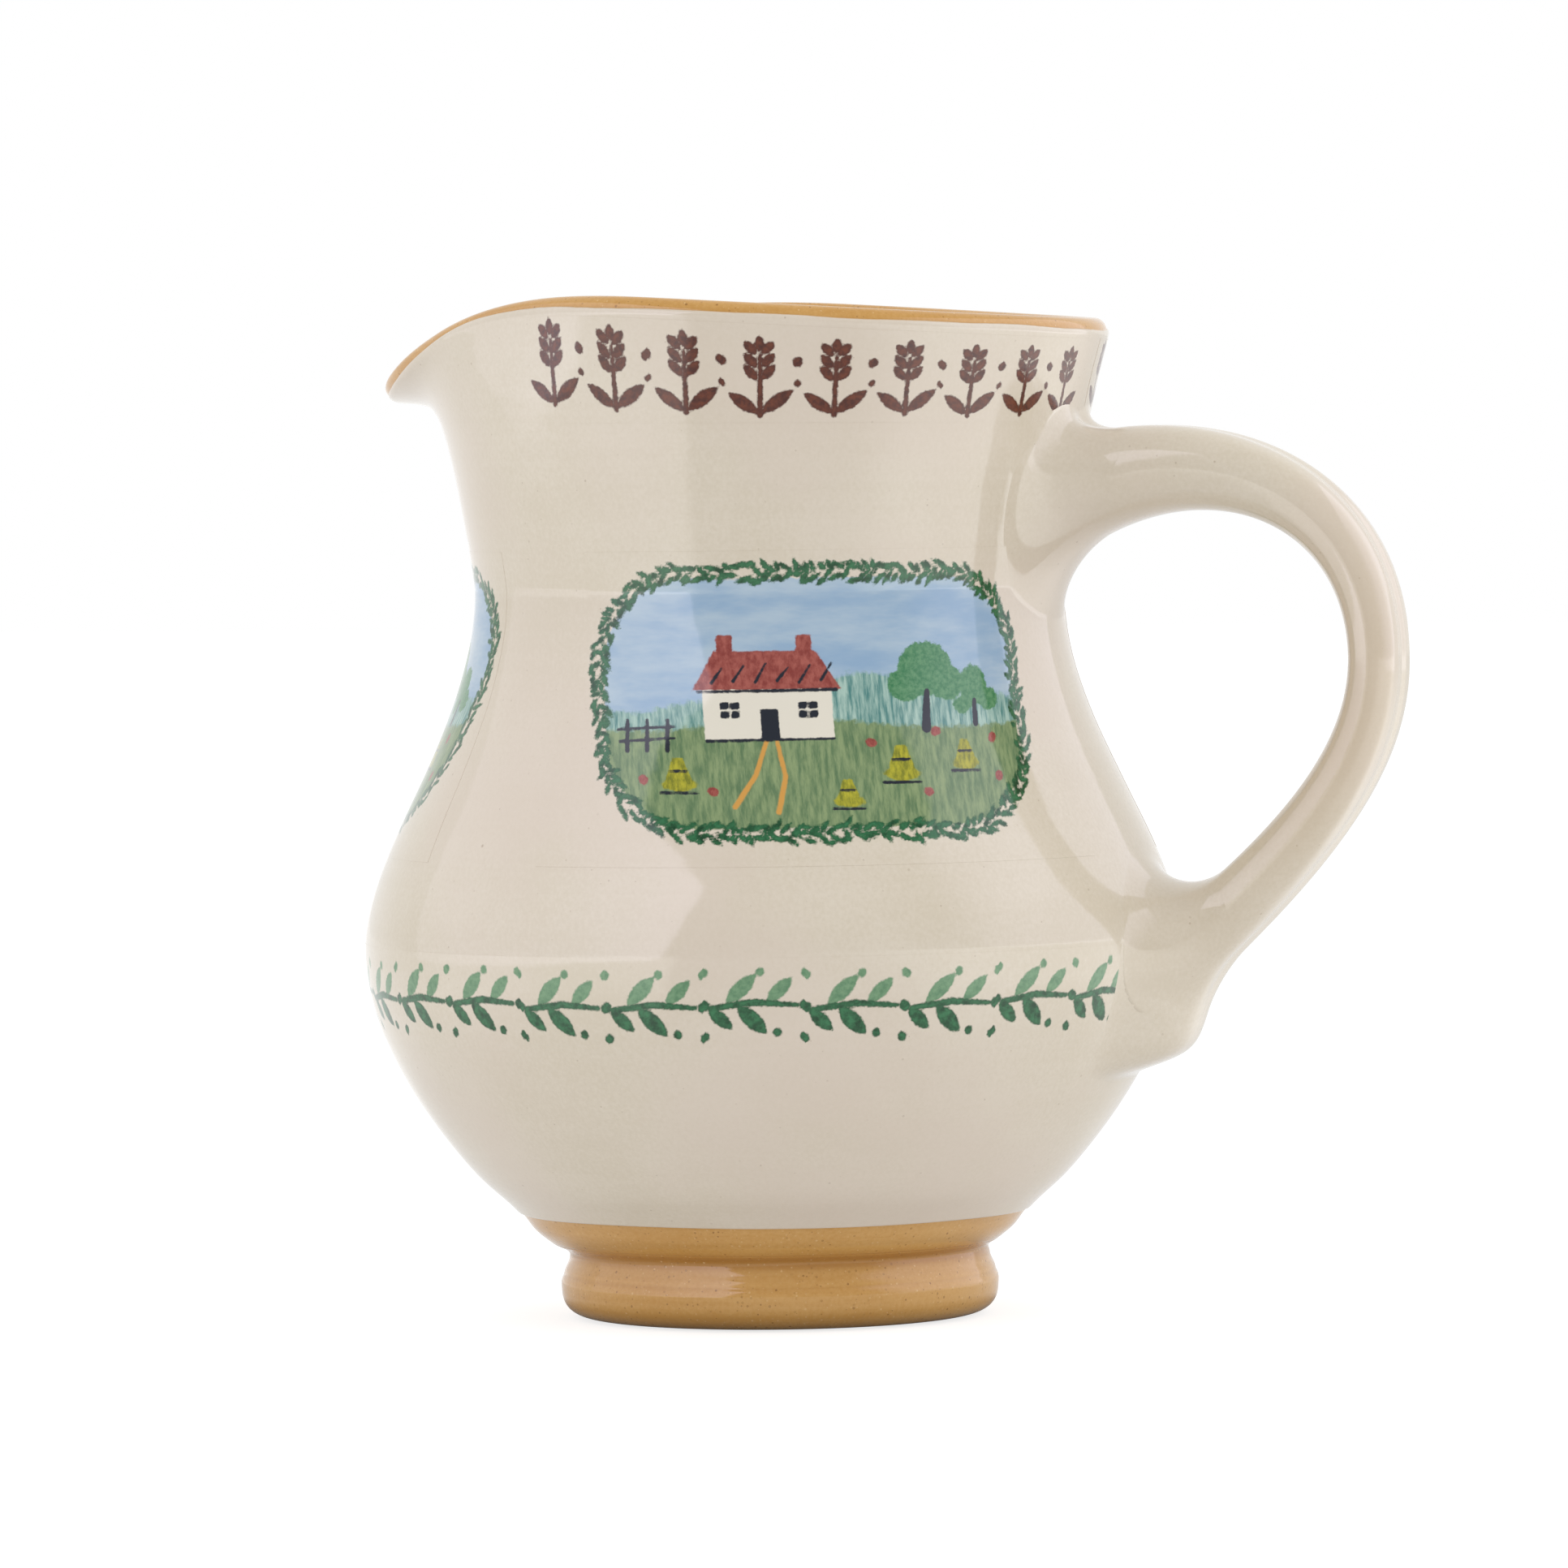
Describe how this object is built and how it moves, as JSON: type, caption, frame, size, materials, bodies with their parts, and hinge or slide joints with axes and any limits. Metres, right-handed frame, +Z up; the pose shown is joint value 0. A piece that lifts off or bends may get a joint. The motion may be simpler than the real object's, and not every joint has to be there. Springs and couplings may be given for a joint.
{
  "type": "jug",
  "caption": "Thrown earthenware jug with a pulled pouring lip, turned foot and strap handle, in cream slip with painted country decoration.",
  "frame": {"origin": "centre of the flat ring that the jug stands on", "axes": "+Z up, -X towards the pouring lip, +X towards the handle"},
  "size_m": [0.1768, 0.1362, 0.1701],
  "materials": {
    "honey_clay": "clear glossy glaze over bare honey-coloured clay",
    "cream_slip": "clear glossy glaze over pale cream slip"
  },
  "bodies": {
    "root": {"foot_ring": "honey_clay", "clay_body": "honey_clay", "outer_slip_coat": "cream_slip", "inner_slip_lining": "cream_slip", "handle": "cream_slip", "handle_collar": "cream_slip", "handle_tail": "cream_slip"}
  },
  "joints": []
}
